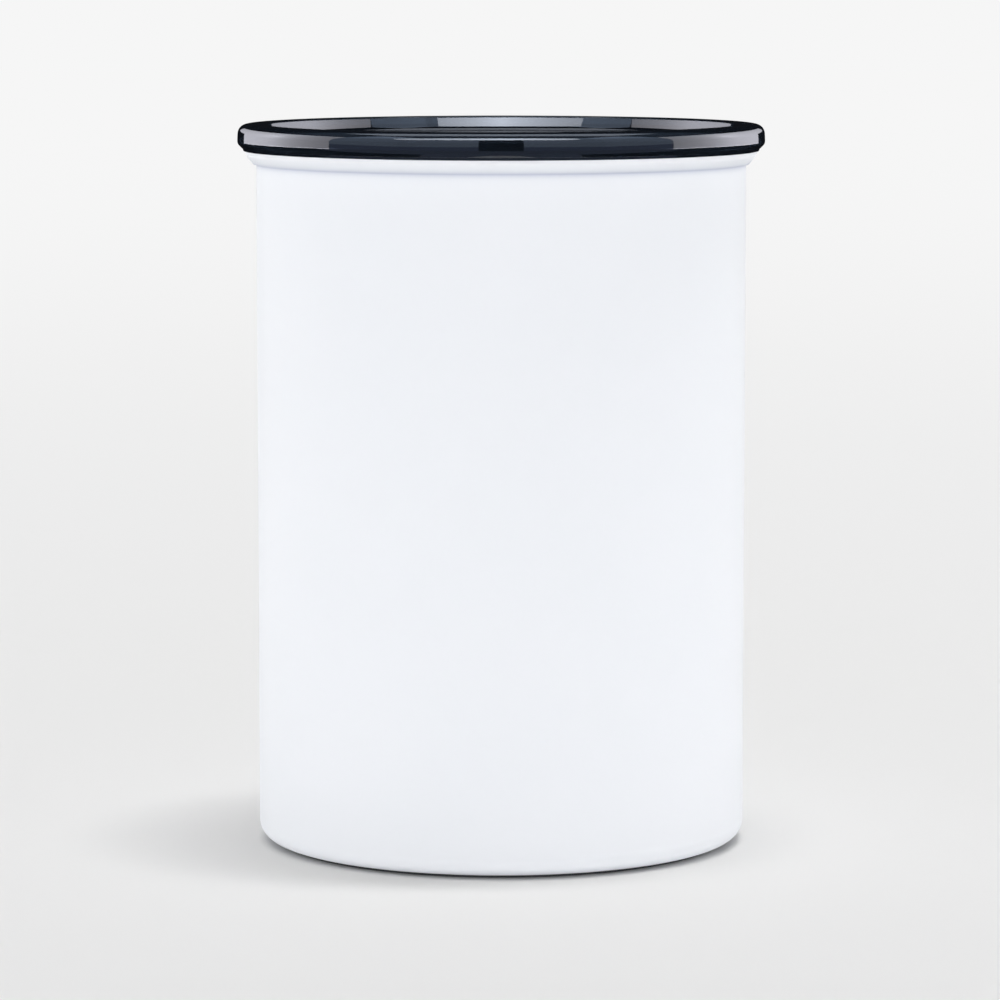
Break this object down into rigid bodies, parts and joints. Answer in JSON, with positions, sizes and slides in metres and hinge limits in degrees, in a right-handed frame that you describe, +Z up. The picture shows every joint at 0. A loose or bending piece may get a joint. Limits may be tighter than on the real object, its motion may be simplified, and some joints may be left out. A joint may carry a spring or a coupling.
{
  "type": "coffee canister with press-down inner lid and vent valve",
  "caption": "Straight white steel coffee canister with a rolled rim, a smoke-plastic lid, and a press-down inner lid with a wiper gasket, folding handle and vent valve.",
  "frame": {"origin": "middle of the base, on the surface that the canister stands on", "axes": "+Z up along the can's axis; -Y is the front, where the folded handle points"},
  "size_m": [0.13, 0.13, 0.178],
  "materials": {
    "white_coat": "white satin powder coat over drawn steel",
    "base_rubber": "matt moulded rubber",
    "smoke_plastic": "polished dark smoke plastic, see-through when thin",
    "dark_plastic": "fine moulded texture",
    "silicone": "translucent grey silicone",
    "pale_plastic": "natural acetal",
    "stainless": "turned stainless steel"
  },
  "bodies": {
    "canister": {"canister_shell": "white_coat", "base_ring": "base_rubber"},
    "lid": {"outer_lid": "smoke_plastic"},
    "plunger": {"plunger_plate": "dark_plastic", "wiper_gasket": "silicone", "gasket_retainer": "dark_plastic", "retainer_screws": "stainless", "valve_housing": "dark_plastic", "housing_screws": "stainless", "valve_spring": "stainless", "pivot_pin_left": "stainless", "pivot_pin_right": "stainless"},
    "handle": {"handle": "dark_plastic"},
    "valve": {"valve_stem": "pale_plastic", "valve_seal": "silicone", "lift_button": "pale_plastic", "button_screw": "stainless"}
  },
  "joints": [
    {"name": "outer_lid_lift", "type": "slide", "parent": "canister", "child": "lid", "axis": [0, 0, 1], "range_m": [0, 0.06]},
    {"name": "plunger_slide", "type": "slide", "parent": "canister", "child": "plunger", "axis": [0, 0, 1], "range_m": [-0.1008, 0]},
    {"name": "handle_flip", "type": "hinge", "parent": "plunger", "child": "handle", "pos_m": [0, 0, 0.1347], "axis": [-1, 0, 0], "range_deg": [0, 90]},
    {"name": "valve_lift", "type": "slide", "parent": "plunger", "child": "valve", "axis": [0, 0, 1], "range_m": [0, 0.003], "deforming": ["valve_spring"]}
  ],
  "couplings": [
    {"joint": "valve_lift", "follows": "handle_flip", "m_per_rad": 0.0019099}
  ]
}
